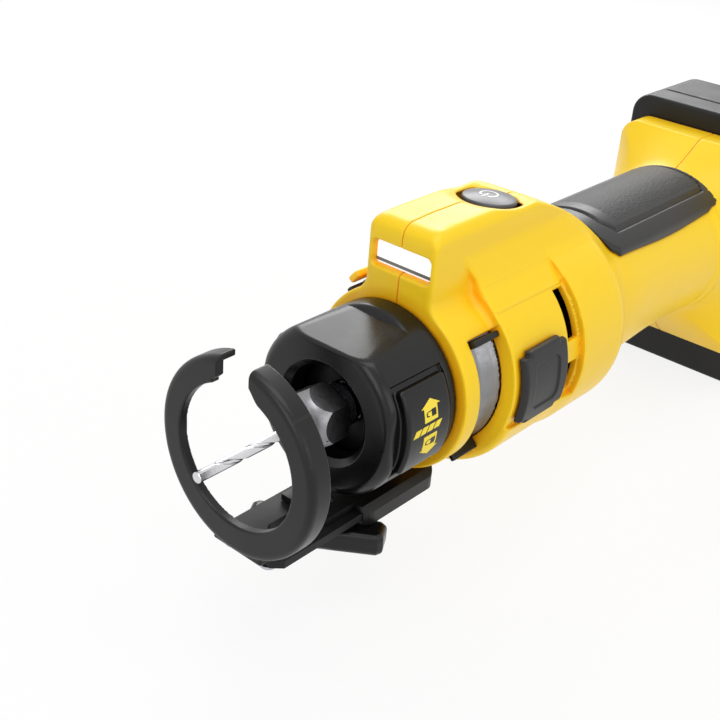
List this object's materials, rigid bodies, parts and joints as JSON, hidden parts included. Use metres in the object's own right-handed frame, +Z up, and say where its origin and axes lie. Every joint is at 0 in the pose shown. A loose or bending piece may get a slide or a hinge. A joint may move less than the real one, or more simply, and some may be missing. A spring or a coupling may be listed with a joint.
{
  "type": "drywall cut-out tool",
  "caption": "Cordless in-line rotary drywall cut-out tool with light tower, round power button, lock collar, sliding depth guide with wing clamp, and slide-on battery pack.",
  "frame": {"origin": "on the spindle axis, in the plane of the depth guide's front face", "axes": "+X forward along the cutting bit, +Y to the tool's left, +Z up through the light tower"},
  "size_m": [0.3158, 0.0762, 0.1162],
  "materials": {
    "yellow_plastic": "satin",
    "black_plastic": "satin",
    "gloss_black": "gloss",
    "grey_plastic": "satin",
    "button_grey": "satin",
    "grip_rubber": "matte",
    "steel": "satin",
    "dark_steel": "satin",
    "cast_aluminium": "satin",
    "copper_wire": "gloss",
    "brass_contact": "satin",
    "cream_plastic": "satin",
    "board_green": "satin",
    "lead_red": "satin",
    "lens_white": "gloss",
    "cell_wrap": "satin"
  },
  "bodies": {
    "tool": {"housing_left": "yellow_plastic", "housing_right": "yellow_plastic", "handle_grip": "grip_rubber", "housing_screws": "steel", "exhaust_guard": "gloss_black", "nose_tube": "cast_aluminium", "collar_ring": "steel", "front_outer_race": "steel", "front_balls": "steel", "rear_outer_race": "steel", "rear_balls": "steel", "stator_core": "dark_steel", "stator_insulators": "cream_plastic", "stator_coils": "copper_wire", "end_frame": "black_plastic", "sensor_board": "board_green", "light_lens": "lens_white", "light_reflector": "lens_white", "light_board": "board_green", "button_spring": "steel", "power_switch": "black_plastic", "controller_tray": "black_plastic", "controller_board": "board_green", "terminal_block": "black_plastic", "terminal_blades": "brass_contact", "power_leads": "lead_red", "filter_screen_left": "grey_plastic", "filter_screen_right": "grey_plastic", "guide_bracket": "black_plastic", "bracket_screws": "steel", "clamp_nut": "steel"},
    "collar": {"lock_collar": "black_plastic"},
    "spindle": {"spindle": "steel", "collet": "steel", "front_inner_race": "steel", "rear_inner_race": "steel", "rotor_core": "dark_steel", "rotor_magnets": "dark_steel", "cooling_fan": "black_plastic"},
    "nut": {"collet_nut": "steel"},
    "bit": {"cutting_bit": "steel"},
    "button": {"power_button": "button_grey"},
    "guide": {"guide_foot": "black_plastic", "guide_arm": "dark_steel", "guide_rivets": "steel"},
    "clamp": {"clamp_knob": "black_plastic", "clamp_screw": "steel"},
    "cover_left": {"intake_cover_left": "grey_plastic"},
    "cover_right": {"intake_cover_right": "grey_plastic"},
    "pack": {"pack_top_case": "black_plastic", "pack_base_case": "black_plastic", "pack_cells": "cell_wrap", "cell_carrier": "black_plastic", "pack_board": "board_green", "pack_contacts": "brass_contact", "release_springs": "steel", "pack_screws": "steel"},
    "release_left": {"release_left": "yellow_plastic"},
    "release_right": {"release_right": "yellow_plastic"},
    "gauge": {"gauge_button": "button_grey"}
  },
  "joints": [
    {"name": "spindle_spin", "type": "hinge", "parent": "tool", "child": "spindle", "pos_m": [-0.05, 0, 0], "axis": [1, 0, 0], "continuous": true},
    {"name": "nut_turn", "type": "hinge", "parent": "spindle", "child": "nut", "pos_m": [-0.03, 0, 0], "axis": [1, 0, 0], "range_deg": [0, 60]},
    {"name": "bit_pull", "type": "slide", "parent": "spindle", "child": "bit", "axis": [1, 0, 0], "range_m": [0, 0.03]},
    {"name": "collar_turn", "type": "hinge", "parent": "tool", "child": "collar", "pos_m": [-0.05, 0, 0], "axis": [1, 0, 0], "range_deg": [0, 40]},
    {"name": "button_press", "type": "slide", "parent": "tool", "child": "button", "axis": [0.2079, 0, -0.9781], "range_m": [0, 0.0012], "stiffness_N_per_m": 900, "springref_m": -0.002},
    {"name": "guide_slide", "type": "slide", "parent": "tool", "child": "guide", "axis": [1, 0, 0], "range_m": [-0.017, 0.012]},
    {"name": "clamp_turn", "type": "hinge", "parent": "tool", "child": "clamp", "pos_m": [-0.0355, 0, -0.04], "axis": [0, 0, 1], "range_deg": [0, 180]},
    {"name": "cover_left_off", "type": "slide", "parent": "tool", "child": "cover_left", "axis": [0, 1, 0], "range_m": [0, 0.02]},
    {"name": "cover_right_off", "type": "slide", "parent": "tool", "child": "cover_right", "axis": [0, -1, 0], "range_m": [0, 0.02]},
    {"name": "pack_slide", "type": "slide", "parent": "tool", "child": "pack", "axis": [0, 0, -1], "range_m": [0, 0.08]},
    {"name": "release_left_press", "type": "slide", "parent": "pack", "child": "release_left", "axis": [0, -1, 0], "range_m": [0, 0.002], "stiffness_N_per_m": 800, "springref_m": -0.003},
    {"name": "release_right_press", "type": "slide", "parent": "pack", "child": "release_right", "axis": [0, 1, 0], "range_m": [0, 0.002], "stiffness_N_per_m": 800, "springref_m": -0.003},
    {"name": "gauge_press", "type": "slide", "parent": "pack", "child": "gauge", "axis": [0, 0, 1], "range_m": [0, 0.0006], "stiffness_N_per_m": 600, "springref_m": -0.002}
  ]
}
